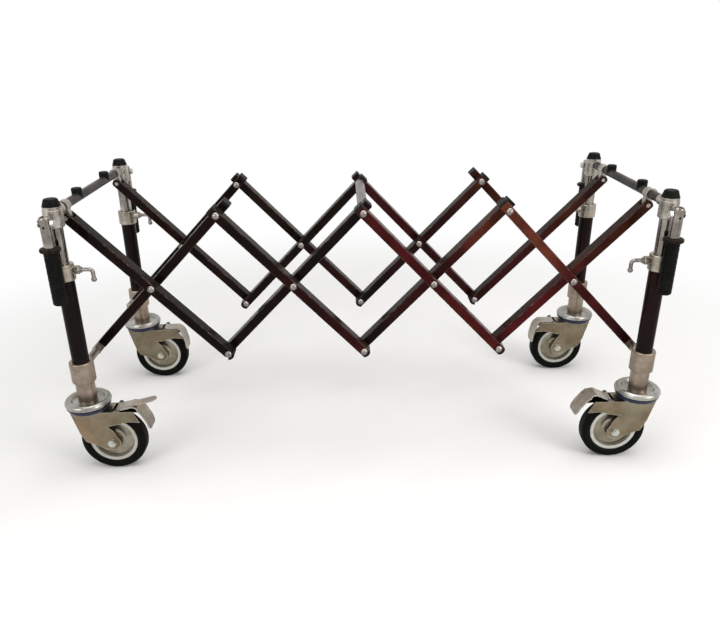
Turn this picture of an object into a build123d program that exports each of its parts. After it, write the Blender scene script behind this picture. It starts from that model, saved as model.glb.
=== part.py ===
from build123d import *

import os
from math import cos, radians, sin

# Coffin church truck: two scissor lattices between four telescopic legs on swivel casters.
# X runs along the truck, Y across it, Z up. The origin is on the floor under the middle.
# Near is -Y and far is +Y, left is -X and right is +X.

# Lattice
BAR_PITCH = 433
REST_ANGLE = 46.1
LOWER_PIVOT_Z = 255
BAR_HEIGHT = 20
BAR_DEPTH = 30
BAR_WALL = 1.5
BAR_CORNER = 2.5
LATTICE_FACE_Y = 181
LAYER_GAP = 5.5
UPPER_OVERHANG = 12
LONG_OVERHANG = 20
LOWER_OVERHANG = 8
CAP_THICKNESS = 6
PLUG_STUB = 3.4

# Pivots
BOLT_R = 4
BOLT_HEAD_R = 7.5
BOLT_HEAD_HEIGHT = 4
HEX_HEIGHT = 6
SPACER_R = 8.5
AXLE_R = 6
FORK_ROOT = 20
TONGUE_THICKNESS = 14
TONGUE_R = 8
SLOT_DEPTH = 9
EYE_NECK = 20
EYE_STUB = 22

# Clearances
FIT = 0.1
RUNNING = 0.05
OPEN_PIVOT = 0.3
FACE_GAP = 0.1

# Legs
LEG_Y = 218
LEG_OUTSET = 7.5
LEG_TUBE_R = 17.5
LEG_TUBE_WALL = 2
LEG_TUBE_BOTTOM_Z = 228
COLLAR_BOTTOM_Z = 450
COLLAR_TOP_Z = 484
COLLAR_R = 21.5
COLLAR_SEAT = 20
SOCKET_R = 25
SOCKET_NECK_R = 20
SOCKET_STEP_Z = 218
SOCKET_TOP_Z = 266
SOCKET_BOTTOM_Z = 171
INNER_TUBE_R = 14
INNER_TUBE_WALL = 2
INNER_TUBE_BOTTOM_Z = 290
GUIDE_LENGTH = 20

# Heads, rails and pads
HEAD_R = 19
HEAD_BOTTOM_Z = 560
HEAD_SHOULDER_Z = 596
HEAD_TOP_Z = 602
HEAD_SKIN = 4
PAD_TOP_Z = 617
PAD_BASE_R = 18
PAD_TOP_R = 13
PAD_SPIGOT_R = 8
PAD_SPIGOT_HEIGHT = 6
RAIL_R = 9.5
RAIL_Z = 590
RAIL_INSET = 2
RAIL_SEAT = 16
RAIL_PAD_Y = 88
RAIL_PAD_R = 11
RAIL_PAD_TOP_Z = 610
HUB_R = 12
HUB_LENGTH = 20
CROSS_RAIL_R = 11

# Swing handles
HANDLE_OFFSET = 41
HANDLE_R = 11
HANDLE_PIVOT_Z = 578
HANDLE_CROWN = 14
LUG_THICKNESS = 8
LUG_R = 8
HANDLE_SLOT = 9
GRIP_TOP_Z = 530
GRIP_BOTTOM_Z = 412
GRIP_R = 14
GRIP_FLANGE_R = 20
GRIP_FLANGE_HEIGHT = 8

# Lock levers
LEVER_R = 4
LEVER_Z = 471
LEVER_REACH = 58
LEVER_DROP = 21
LEVER_BOSS_R = 9
LEVER_BOSS_REACH = 33

# Casters
WHEEL_R = 72
TYRE_WIDTH = 30
RIM_R = 53
TRAIL = 45
CASTER_AXLE_R = 5
HUB_HALF = 18.6
FORK_INNER = 19
FORK_SHEET = 3
RACEWAY_R = 48.5
RACEWAY_TOP_Z = 177
SEAL_TOP_Z = 166
FORK_TOP_Z = 159
FORK_HEAD_R = 42
FORK_HEAD_THICKNESS = 6
KINGPIN_R = 7
STEM_R = 10
STEM_LENGTH = 36
HOUSING_TOP_Z = 149
HOUSING_MOUTH = 52
PEDAL_PIVOT = (64, 149)
PEDAL_EAR_R = 6
PEDAL_BARREL_R = 4.5
PEDAL_PIN_R = 2.5
PEDAL_SHEET = 2.5

# Worked out from the sizes above
HALF = BAR_PITCH / 2
NODE_STEP = BAR_PITCH * cos(radians(REST_ANGLE))
UPPER_PIVOT_Z = LOWER_PIVOT_Z + BAR_PITCH * sin(radians(REST_ANGLE))
CROSS_Z = (LOWER_PIVOT_Z + UPPER_PIVOT_Z) / 2
FALLING_Y = -(LATTICE_FACE_Y - BAR_DEPTH / 2)
RISING_Y = FALLING_Y + BAR_DEPTH + LAYER_GAP
INNER_FACE_Y = RISING_Y + BAR_DEPTH / 2
END_PIVOT_X = 2 * NODE_STEP
LEG_X = END_PIVOT_X + LEG_OUTSET
RAIL_X = LEG_X - RAIL_INSET
HANDLE_Y = LEG_Y + HANDLE_OFFSET
RAIL_END_Y = LEG_Y - INNER_TUBE_R - INNER_TUBE_WALL
BAR_INNER_HEIGHT = BAR_HEIGHT - 2 * BAR_WALL
BAR_INNER_DEPTH = BAR_DEPTH - 2 * BAR_WALL

# A node of the lattice counts from 0 at the left end to 4 at the right end.
OPEN_PIVOTS = (("lower", 1), ("upper", 2), ("lower", 3))
SIDES = {"left": -1, "right": 1}
CORNERS = {
    "near_left": (-1, -1),
    "near_right": (1, -1),
    "far_left": (-1, 1),
    "far_right": (1, 1),
}
# Degrees by which each brake pedal stands raised from its lowest place.
PEDAL_RAISED = {"near_left": 14, "near_right": 24, "far_left": 0, "far_right": 0}

os.makedirs("parts", exist_ok=True)


def save(name, *pieces):
    """Write one node: a single piece, or several that stay separate solids."""
    solids = [solid for piece in pieces for solid in piece.solids()]
    node = solids[0] if len(solids) == 1 else Compound(solids)
    node.label = name
    export_step(node, f"parts/{name}.step")


def node_x(count):
    return (count - 2) * NODE_STEP


def node_z(row):
    return LOWER_PIVOT_Z if row == "lower" else UPPER_PIVOT_Z


def both_sides(piece):
    """A near piece and its mirror image on the far side."""
    return Compound([piece, mirror(piece, about=Plane.XZ)])


def bar_plane(index, rising):
    """Plane at a bar's crossing pivot, with x running up along the bar."""
    slope = radians(REST_ANGLE if rising else 180 - REST_ANGLE)
    layer = RISING_Y if rising else FALLING_Y
    centre = ((index - 2.5) * NODE_STEP, layer, CROSS_Z)
    return Plane(origin=centre, x_dir=(cos(slope), 0, sin(slope)), z_dir=(0, -1, 0))


def section_plane(plane, along):
    """Plane across a bar at a distance along it from the crossing pivot."""
    return Plane(origin=plane.from_local_coords((along, 0, 0)), x_dir=(0, -1, 0), z_dir=plane.x_dir)


def bar(index, rising):
    """One bar with its welded end block or end plugs, near side only."""
    plane = bar_plane(index, rising)
    forked = (rising and index == 4) or (not rising and index == 1)
    eyed = (rising and index == 1) or (not rising and index == 4)
    long_end = (rising and index == 1) or (not rising and index == 4)
    upper_node = ("upper", index if rising else index - 1)
    lower_node = ("lower", index - 1 if rising else index)
    start = -HALF + EYE_NECK if eyed else -HALF - LOWER_OVERHANG
    overhang = LONG_OVERHANG if long_end else UPPER_OVERHANG
    end = HALF - FORK_ROOT if forked else HALF + overhang
    upper_gap = OPEN_PIVOT if upper_node in OPEN_PIVOTS and not rising else RUNNING
    lower_gap = OPEN_PIVOT if lower_node in OPEN_PIVOTS and not rising else RUNNING
    if rising:
        upper_gap = lower_gap = FIT
    with BuildPart() as tube:
        with BuildSketch(section_plane(plane, start)):
            RectangleRounded(BAR_DEPTH, BAR_HEIGHT, BAR_CORNER)
            RectangleRounded(BAR_INNER_DEPTH, BAR_INNER_HEIGHT, BAR_CORNER - BAR_WALL, mode=Mode.SUBTRACT)
        extrude(amount=end - start)
        if forked:
            with BuildSketch(section_plane(plane, end)):
                RectangleRounded(BAR_DEPTH, BAR_HEIGHT, BAR_CORNER)
            extrude(amount=FORK_ROOT + BAR_HEIGHT / 2)
            with BuildSketch(plane):
                with Locations((0, 0)):
                    Rectangle(BAR_PITCH, BAR_HEIGHT)
                with Locations((HALF, 0)):
                    Circle(BAR_HEIGHT / 2)
            extrude(amount=BAR_DEPTH, both=True, mode=Mode.INTERSECT)
            with BuildSketch(plane):
                with Locations((HALF - SLOT_DEPTH, 0)):
                    Rectangle(BAR_HEIGHT * 2, BAR_HEIGHT * 2, align=(Align.MIN, Align.CENTER))
            extrude(amount=TONGUE_THICKNESS / 2 + OPEN_PIVOT, both=True, mode=Mode.SUBTRACT)
        with BuildSketch(plane):
            Circle(BOLT_R + (FIT if rising else RUNNING))
            with Locations((HALF, 0)):
                Circle(BOLT_R + (RUNNING if forked else upper_gap))
            if not eyed:
                with Locations((-HALF, 0)):
                    Circle(BOLT_R + lower_gap)
        extrude(amount=BAR_DEPTH, both=True, mode=Mode.SUBTRACT)
    pieces = [tube.part]
    if not forked:
        pieces.append(upper_cap(plane, end))
    if not eyed:
        pieces.append(lower_plug(plane))
    return [both_sides(piece) for piece in pieces]


def upper_cap(plane, end):
    """Square plastic plug in the upper end of a bar."""
    with BuildPart() as cap:
        with BuildSketch(section_plane(plane, end)):
            RectangleRounded(BAR_DEPTH, BAR_HEIGHT, BAR_CORNER)
        extrude(amount=CAP_THICKNESS)
        chamfer(cap.faces().sort_by(Axis(plane.origin, plane.x_dir))[-1].edges(), length=1.2)
        with BuildSketch(section_plane(plane, end - PLUG_STUB)):
            RectangleRounded(BAR_INNER_DEPTH - 2 * FIT, BAR_INNER_HEIGHT - 2 * FIT, BAR_CORNER - BAR_WALL)
        extrude(amount=PLUG_STUB)
    return cap.part


def lower_plug(plane):
    """Round-ended plastic plug in the lower end of a bar."""
    end = -HALF - LOWER_OVERHANG
    with BuildPart() as plug:
        with BuildSketch(plane):
            with Locations((end, 0)):
                Rectangle(CAP_THICKNESS, BAR_HEIGHT, align=(Align.MAX, Align.CENTER))
            with Locations((-HALF, 0)):
                Circle(LOWER_OVERHANG + CAP_THICKNESS - 1, mode=Mode.INTERSECT)
        extrude(amount=BAR_DEPTH / 2, both=True)
        with BuildSketch(section_plane(plane, end)):
            RectangleRounded(BAR_INNER_DEPTH - 2 * FIT, BAR_INNER_HEIGHT - 2 * FIT, BAR_CORNER - BAR_WALL)
        extrude(amount=PLUG_STUB)
    return plug.part


def pivot_bolt(row, count, crossing=False):
    """Dome-headed bolt through both layers, with the spacer between them."""
    x = node_x(count) - (NODE_STEP / 2 if crossing else 0)
    z = CROSS_Z if crossing else node_z(row)
    railed = not crossing and (row, count) == ("upper", 2)
    outer = -LATTICE_FACE_Y - FACE_GAP
    dome = BOLT_HEAD_HEIGHT
    with BuildPart() as bolt:
        with BuildSketch(Plane(origin=(x, 0, z), x_dir=(1, 0, 0), z_dir=(0, 0, 1))):
            with BuildLine():
                head = TangentArc((0, outer - dome), (BOLT_HEAD_R, outer), tangent=(1, 0))
                if railed:
                    tail = Polyline(head @ 1, (BOLT_R, outer), (BOLT_R, INNER_FACE_Y + EYE_NECK))
                    Line(tail @ 1, (0, INNER_FACE_Y + EYE_NECK))
                    Line((0, INNER_FACE_Y + EYE_NECK), head @ 0)
                else:
                    shank = Polyline(
                        head @ 1, (BOLT_R, outer), (BOLT_R, INNER_FACE_Y), (BOLT_HEAD_R, INNER_FACE_Y)
                    )
                    foot = TangentArc((0, INNER_FACE_Y + dome), shank @ 1, tangent=(1, 0))
                    Line(foot @ 0, head @ 0)
            make_face()
        revolve(axis=Axis((x, 0, z), (0, 1, 0)))
    with BuildPart() as spacer:
        with BuildSketch(Plane.XZ.offset(LATTICE_FACE_Y - BAR_DEPTH - LAYER_GAP)):
            with Locations((x, z)):
                Circle(SPACER_R)
                Circle(BOLT_R + 2 * FIT, mode=Mode.SUBTRACT)
        extrude(amount=LAYER_GAP - FACE_GAP)
    return [both_sides(bolt.part), both_sides(spacer.part)]


def end_eye(index, rising):
    """Cast eye at the lower end of an end bar: it turns on the leg socket's stub axle."""
    plane = bar_plane(index, rising)
    with BuildPart() as eye:
        with BuildSketch(plane):
            with Locations((-HALF, 0)):
                Circle(BAR_HEIGHT / 2)
                Rectangle(EYE_NECK, BAR_HEIGHT - 2, align=(Align.MIN, Align.CENTER))
        extrude(amount=BAR_DEPTH / 2 - OPEN_PIVOT, both=True)
        with BuildSketch(section_plane(plane, -HALF + EYE_NECK)):
            RectangleRounded(BAR_INNER_DEPTH - 2 * FIT, BAR_INNER_HEIGHT - 2 * FIT, BAR_CORNER - BAR_WALL)
        extrude(amount=EYE_STUB)
        with BuildSketch(plane):
            with Locations((-HALF, 0)):
                Circle(AXLE_R + RUNNING)
        extrude(amount=BAR_DEPTH, both=True, mode=Mode.SUBTRACT)
    return both_sides(eye.part)


def leg_tube(side):
    with BuildPart() as tube:
        with BuildSketch(Plane.XY.offset(LEG_TUBE_BOTTOM_Z)):
            with Locations((side * LEG_X, -LEG_Y)):
                Circle(LEG_TUBE_R)
                Circle(LEG_TUBE_R - LEG_TUBE_WALL, mode=Mode.SUBTRACT)
        extrude(amount=COLLAR_BOTTOM_Z + COLLAR_SEAT - OPEN_PIVOT - LEG_TUBE_BOTTOM_Z)
    return both_sides(tube.part)


def leg_socket(side):
    """Turned socket with the stub axle, and the screw that keeps the end bar on it."""
    x = side * LEG_X
    pivot_x = side * END_PIVOT_X
    layer = RISING_Y if side < 0 else FALLING_Y
    shoulder = layer - BAR_DEPTH / 2 - OPEN_PIVOT
    journal_end = layer + BAR_DEPTH / 2
    root = -LEG_Y
    across = Plane(origin=(pivot_x, root, LOWER_PIVOT_Z), x_dir=(1, 0, 0), z_dir=(0, 1, 0))
    with BuildPart() as socket:
        with BuildSketch(Plane.XY.offset(SOCKET_BOTTOM_Z)):
            with Locations((x, -LEG_Y)):
                Circle(SOCKET_NECK_R)
        extrude(amount=SOCKET_STEP_Z - SOCKET_BOTTOM_Z)
        with BuildSketch(Plane.XY.offset(SOCKET_STEP_Z)):
            with Locations((x, -LEG_Y)):
                Circle(SOCKET_R)
        extrude(amount=SOCKET_TOP_Z - SOCKET_STEP_Z)
        fillet(socket.edges().filter_by(GeomType.CIRCLE).group_by(SortBy.RADIUS)[-1], radius=2.5)
        with BuildSketch(across):
            Circle(AXLE_R + 2.5)
        extrude(amount=shoulder - root)
        with BuildSketch(across):
            Circle(AXLE_R)
        extrude(amount=journal_end - root)
        with BuildSketch(across.offset(journal_end - root)):
            Circle(AXLE_R / 2 + FIT)
        extrude(amount=-EYE_NECK, mode=Mode.SUBTRACT)
        with BuildSketch(Plane.XY.offset(LEG_TUBE_BOTTOM_Z)):
            with Locations((x, -LEG_Y)):
                Circle(LEG_TUBE_R + RUNNING)
        extrude(amount=SOCKET_TOP_Z, mode=Mode.SUBTRACT)
        with BuildSketch(Plane.XY.offset(SOCKET_BOTTOM_Z)):
            with Locations((x, -LEG_Y)):
                Circle(STEM_R + FIT)
        extrude(amount=STEM_LENGTH, mode=Mode.SUBTRACT)
    with BuildPart() as screw:
        with BuildSketch(across.offset(journal_end - root)):
            Circle(AXLE_R + 2.5)
        extrude(amount=BOLT_HEAD_HEIGHT)
        fillet(screw.edges().sort_by(Axis.Y)[-1], radius=3)
        with BuildSketch(across.offset(journal_end - root)):
            Circle(AXLE_R / 2)
        extrude(amount=-EYE_NECK + 2)
    return [both_sides(socket.part), both_sides(screw.part)]


def lock_collar(side):
    """Collar that joins the outer tube and guides the inner one, with the lever's boss."""
    x = side * LEG_X
    boss_plane = Plane(origin=(x, -LEG_Y, LEVER_Z), x_dir=(0, 1, 0), z_dir=(-side, 0, 0))
    with BuildPart() as collar:
        with BuildSketch(Plane.XY.offset(COLLAR_BOTTOM_Z)):
            with Locations((x, -LEG_Y)):
                Circle(COLLAR_R)
        extrude(amount=COLLAR_TOP_Z - COLLAR_BOTTOM_Z)
        fillet(collar.edges().filter_by(GeomType.CIRCLE), radius=2)
        with BuildSketch(boss_plane):
            Circle(LEVER_BOSS_R)
        extrude(amount=LEVER_BOSS_REACH)
        chamfer(collar.faces().sort_by(Axis.X)[-1 if side < 0 else 0].edges(), length=1.5)
        with BuildSketch(Plane.XY.offset(COLLAR_BOTTOM_Z)):
            with Locations((x, -LEG_Y)):
                Circle(LEG_TUBE_R + RUNNING)
        extrude(amount=COLLAR_SEAT, mode=Mode.SUBTRACT)
        with BuildSketch(Plane.XY.offset(COLLAR_BOTTOM_Z)):
            with Locations((x, -LEG_Y)):
                Circle(INNER_TUBE_R + RUNNING)
        extrude(amount=COLLAR_TOP_Z, mode=Mode.SUBTRACT)
        with BuildSketch(boss_plane):
            Circle(LEVER_R + RUNNING)
        extrude(amount=LEVER_BOSS_REACH * 2, mode=Mode.SUBTRACT)
    return both_sides(collar.part)


def lock_lever(side):
    """Clamp screw whose bent end is the hand lever, near side."""
    x = side * LEG_X
    inner = x - side * (LEG_TUBE_R + OPEN_PIVOT)
    elbow = x - side * LEVER_REACH
    with BuildPart() as lever:
        with BuildLine(Plane((x, -LEG_Y, LEVER_Z), x_dir=(1, 0, 0), z_dir=(0, -1, 0))) as path:
            FilletPolyline(
                (inner - x, 0), (elbow - x, 0), (elbow - x, -LEVER_DROP), radius=LEVER_R + 3
            )
        with BuildSketch(Plane((inner, -LEG_Y, LEVER_Z), z_dir=(-side, 0, 0))):
            Circle(LEVER_R)
        sweep(path=path.line)
        with Locations((elbow, -LEG_Y, LEVER_Z - LEVER_DROP)):
            Sphere(LEVER_R + 1.5)
        flange_x = x - side * (LEVER_BOSS_REACH + 3 * FACE_GAP)
        with BuildSketch(Plane((flange_x, -LEG_Y, LEVER_Z), z_dir=(-side, 0, 0))):
            Circle(LEVER_R + 2.5)
        extrude(amount=FORK_SHEET)
    return lever.part


def caster_raceway(side):
    """Raceway plate with its stem and kingpin."""
    middle = Axis((side * LEG_X, -LEG_Y, 0), (0, 0, 1))
    plane = Plane(origin=(side * LEG_X, -LEG_Y, 0), x_dir=(1, 0, 0), z_dir=(0, -1, 0))
    plate_bottom = SEAL_TOP_Z
    nut_top = FORK_TOP_Z - FORK_HEAD_THICKNESS - OPEN_PIVOT
    with BuildPart() as raceway:
        with BuildSketch(plane):
            with BuildLine():
                rim = ThreePointArc(
                    (RACEWAY_R, plate_bottom),
                    (RACEWAY_R - 2.2, RACEWAY_TOP_Z - 2.4),
                    (RACEWAY_R - 8, RACEWAY_TOP_Z),
                )
                Polyline(
                    rim @ 1,
                    (RACEWAY_R - 13, RACEWAY_TOP_Z - 1),
                    (RACEWAY_R - 17, SOCKET_BOTTOM_Z),
                    (STEM_R, SOCKET_BOTTOM_Z),
                    (STEM_R, SOCKET_BOTTOM_Z + STEM_LENGTH - 2),
                    (0, SOCKET_BOTTOM_Z + STEM_LENGTH - 2),
                    (0, nut_top - 6),
                    (KINGPIN_R + 4, nut_top - 6),
                    (KINGPIN_R + 4, nut_top),
                    (KINGPIN_R, nut_top),
                    (KINGPIN_R, FORK_TOP_Z + OPEN_PIVOT),
                    (RACEWAY_R - 20, FORK_TOP_Z + OPEN_PIVOT),
                    (RACEWAY_R - 20, plate_bottom),
                    rim @ 0,
                )
            make_face()
        revolve(axis=middle)
    return both_sides(raceway.part)


def dust_seal(side):
    with BuildPart() as seal:
        with BuildSketch(Plane.XY.offset(FORK_TOP_Z + OPEN_PIVOT)):
            with Locations((side * LEG_X, -LEG_Y)):
                Circle(RACEWAY_R - 1.5)
                Circle(RACEWAY_R - 12, mode=Mode.SUBTRACT)
        extrude(amount=SEAL_TOP_Z - FORK_TOP_Z - OPEN_PIVOT)
        fillet(seal.edges().group_by(Axis.Z)[0].sort_by(SortBy.RADIUS)[-1], radius=2)
    return both_sides(seal.part)


def inner_tube(side):
    with BuildPart() as tube:
        with BuildSketch(Plane.XY.offset(INNER_TUBE_BOTTOM_Z)):
            with Locations((side * LEG_X, -LEG_Y)):
                Circle(INNER_TUBE_R)
        extrude(amount=HEAD_SHOULDER_Z - HEAD_SKIN - INNER_TUBE_BOTTOM_Z)
        with BuildSketch(Plane.XY.offset(INNER_TUBE_BOTTOM_Z)):
            with Locations((side * LEG_X, -LEG_Y)):
                Circle(LEG_TUBE_R - LEG_TUBE_WALL - FIT)
        extrude(amount=GUIDE_LENGTH)
        with BuildSketch(Plane.XY.offset(INNER_TUBE_BOTTOM_Z)):
            with Locations((side * LEG_X, -LEG_Y)):
                Circle(INNER_TUBE_R - INNER_TUBE_WALL)
        extrude(amount=HEAD_TOP_Z, mode=Mode.SUBTRACT)
    return both_sides(tube.part)


def leg_head(side):
    """Cast head: tube socket, pad seat, rail boss and the lug of the swing handle."""
    x = side * LEG_X
    rail = Plane(origin=(side * RAIL_X, -LEG_Y, RAIL_Z), x_dir=(1, 0, 0), z_dir=(0, 1, 0))
    with BuildPart() as head:
        with BuildSketch(Plane.XY.offset(HEAD_BOTTOM_Z)):
            with Locations((x, -LEG_Y)):
                Circle(HEAD_R)
        extrude(amount=HEAD_SHOULDER_Z - HEAD_BOTTOM_Z)
        chamfer(head.edges().group_by(Axis.Z)[0], length=2)
        fillet(head.edges().group_by(Axis.Z)[-1], radius=1.5)
        with BuildSketch(Plane.XY.offset(HEAD_SHOULDER_Z)):
            with Locations((x, -LEG_Y)):
                Circle(PAD_BASE_R)
        extrude(amount=HEAD_TOP_Z - HEAD_SHOULDER_Z)
        with BuildSketch(Plane.XY.offset(HEAD_TOP_Z)):
            with Locations((x, -LEG_Y)):
                Circle(PAD_SPIGOT_R)
        extrude(amount=PAD_SPIGOT_HEIGHT)
        with BuildSketch(rail):
            Circle(RAIL_R + 2)
        extrude(amount=LEG_Y - RAIL_END_Y + RAIL_SEAT)
        with BuildSketch(Plane.YZ.offset(x)):
            with Locations((-HANDLE_Y, HANDLE_PIVOT_Z)):
                Circle(LUG_R)
                Rectangle(HANDLE_OFFSET - INNER_TUBE_R - 2, LUG_R * 2, align=(Align.MIN, Align.CENTER))
        extrude(amount=LUG_THICKNESS / 2, both=True)
        with BuildSketch(Plane.YZ.offset(x)):
            with Locations((-HANDLE_Y, HANDLE_PIVOT_Z)):
                Circle(BOLT_R + FIT)
        extrude(amount=HEAD_R, both=True, mode=Mode.SUBTRACT)
        with BuildSketch(Plane.XY.offset(HEAD_BOTTOM_Z)):
            with Locations((x, -LEG_Y)):
                Circle(INNER_TUBE_R + RUNNING)
        extrude(amount=HEAD_SHOULDER_Z - HEAD_SKIN - HEAD_BOTTOM_Z + FIT, mode=Mode.SUBTRACT)
        with BuildSketch(rail.offset(LEG_Y - RAIL_END_Y)):
            Circle(RAIL_R + RUNNING)
        extrude(amount=RAIL_SEAT * 2, mode=Mode.SUBTRACT)
    return both_sides(head.part)


def handle_bolt(side):
    """Pivot bolt of the swing handle: low head outside, nut towards the truck's middle."""
    outer = HANDLE_R + 4 * FIT
    plane = Plane(origin=(side * LEG_X, -HANDLE_Y, HANDLE_PIVOT_Z), x_dir=(0, 1, 0), z_dir=(side, 0, 0))
    with BuildPart() as bolt:
        with BuildSketch(plane.offset(-outer)):
            Circle(BOLT_R)
        extrude(amount=2 * outer)
        with BuildSketch(plane.offset(outer)):
            Circle(BOLT_HEAD_R)
        extrude(amount=BOLT_HEAD_HEIGHT - 1.5)
        with BuildSketch(plane.offset(-outer)):
            RegularPolygon(BOLT_HEAD_R, 6)
        extrude(amount=-HEX_HEIGHT)
        fillet(bolt.faces().sort_by(Axis.X)[-1 if side > 0 else 0].edges(), radius=1.5)
    return both_sides(bolt.part)


def rail_hub(side):
    """Cast hub on the end rail, with the tongue and trunnions of the lattice's end bar."""
    layer = FALLING_Y if side < 0 else RISING_Y
    rail = Plane(origin=(side * RAIL_X, layer, RAIL_Z), x_dir=(1, 0, 0), z_dir=(0, 1, 0))
    tongue = Plane(origin=(side * END_PIVOT_X, layer, UPPER_PIVOT_Z), x_dir=(1, 0, 0), z_dir=(0, -1, 0))
    rise = RAIL_Z - UPPER_PIVOT_Z
    lean = side * (RAIL_X - END_PIVOT_X)
    with BuildPart() as hub:
        with BuildSketch(rail):
            Circle(HUB_R)
        extrude(amount=HUB_LENGTH / 2, both=True)
        with BuildSketch(rail.offset(-HUB_LENGTH / 2)):
            Circle(HUB_R + 0.5)
        extrude(amount=-FORK_SHEET)
        with BuildSketch(tongue):
            Circle(TONGUE_R)
            with BuildLine():
                Polyline(
                    (-TONGUE_R, 0),
                    (TONGUE_R, 0),
                    (TONGUE_R + lean, rise),
                    (-TONGUE_R + lean, rise),
                    close=True,
                )
            make_face()
        extrude(amount=TONGUE_THICKNESS / 2, both=True)
        with BuildSketch(tongue):
            Circle(BOLT_R)
        extrude(amount=BAR_DEPTH / 2, both=True)
        with BuildSketch(rail):
            Circle(RAIL_R + RUNNING)
        extrude(amount=BAR_DEPTH, both=True, mode=Mode.SUBTRACT)
    return both_sides(hub.part)


def end_rail(side):
    rail = Plane(origin=(side * RAIL_X, 0, RAIL_Z), x_dir=(1, 0, 0), z_dir=(0, 1, 0))
    with BuildPart() as tube:
        with BuildSketch(rail):
            Circle(RAIL_R)
            Circle(RAIL_R - 2, mode=Mode.SUBTRACT)
        extrude(amount=RAIL_END_Y, both=True)
    return tube.part


def corner_pad(side):
    with BuildPart() as pad:
        with Locations((side * LEG_X, -LEG_Y, HEAD_TOP_Z)):
            height = PAD_TOP_Z - HEAD_TOP_Z
            Cone(PAD_BASE_R, PAD_TOP_R, height, align=(Align.CENTER, Align.CENTER, Align.MIN))
        fillet(pad.edges().group_by(Axis.Z)[-1], radius=4)
        with BuildSketch(Plane.XY.offset(HEAD_TOP_Z)):
            with Locations((side * LEG_X, -LEG_Y)):
                Circle(PAD_SPIGOT_R + FIT)
        extrude(amount=PAD_SPIGOT_HEIGHT + FIT, mode=Mode.SUBTRACT)
    return both_sides(pad.part)


def rail_pad(side):
    """Rubber pad saddled on the end rail."""
    with BuildPart() as pad:
        with BuildSketch(Plane.XY.offset(RAIL_Z)):
            with Locations((side * RAIL_X, -RAIL_PAD_Y)):
                Circle(RAIL_PAD_R)
        extrude(amount=RAIL_PAD_TOP_Z - RAIL_Z)
        fillet(pad.edges().group_by(Axis.Z)[-1], radius=3)
        with BuildSketch(Plane(origin=(side * RAIL_X, 0, RAIL_Z), x_dir=(1, 0, 0), z_dir=(0, 1, 0))):
            Circle(RAIL_R + RUNNING)
        extrude(amount=LEG_Y, both=True, mode=Mode.SUBTRACT)
    return both_sides(pad.part)


def cross_rail():
    """Tube between the lattices at the top middle node, bored for the pivot bolts."""
    middle = Plane(origin=(0, 0, UPPER_PIVOT_Z), x_dir=(1, 0, 0), z_dir=(0, 1, 0))
    end = -INNER_FACE_Y
    with BuildPart() as rail:
        with BuildSketch(middle):
            Circle(CROSS_RAIL_R)
        extrude(amount=end, both=True)
        with BuildSketch(middle):
            Circle(CROSS_RAIL_R - 2)
        extrude(amount=end - EYE_STUB, both=True, mode=Mode.SUBTRACT)
        with BuildSketch(middle):
            Circle(BOLT_R + FIT)
        extrude(amount=end, both=True, mode=Mode.SUBTRACT)
    return rail.part


def handle_tube(side):
    """Handle tube whose slotted top straddles the head's lug, near side."""
    x = side * LEG_X
    slot_bottom = HANDLE_PIVOT_Z - HANDLE_SLOT
    with BuildPart() as tube:
        with BuildSketch(Plane.XY.offset(GRIP_BOTTOM_Z + 6)):
            with Locations((x, -HANDLE_Y)):
                Circle(HANDLE_R)
        extrude(amount=HANDLE_PIVOT_Z + HANDLE_CROWN - GRIP_BOTTOM_Z - 6)
        fillet(tube.edges().group_by(Axis.Z)[-1], radius=5)
        with BuildSketch(Plane.XY.offset(GRIP_BOTTOM_Z)):
            with Locations((x, -HANDLE_Y)):
                Circle(HANDLE_R - 2)
        extrude(amount=slot_bottom - 5 - GRIP_BOTTOM_Z, mode=Mode.SUBTRACT)
        with BuildSketch(Plane.XY.offset(slot_bottom)):
            with Locations((x, -HANDLE_Y - HANDLE_SLOT)):
                Rectangle(LUG_THICKNESS + 2 * OPEN_PIVOT, HANDLE_R * 3, align=(Align.CENTER, Align.MIN))
        extrude(amount=HANDLE_R * 3, mode=Mode.SUBTRACT)
        with BuildSketch(Plane.YZ.offset(x)):
            with Locations((-HANDLE_Y, HANDLE_PIVOT_Z)):
                Circle(BOLT_R + RUNNING)
        extrude(amount=HANDLE_R * 2, both=True, mode=Mode.SUBTRACT)
        with BuildSketch(Plane.XZ.offset(HANDLE_Y + HANDLE_SLOT - 1)):
            with Locations((x, HANDLE_PIVOT_Z - BOLT_R - 2)):
                Circle(2.2)
        extrude(amount=HANDLE_R, mode=Mode.SUBTRACT)
    return tube.part


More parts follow.
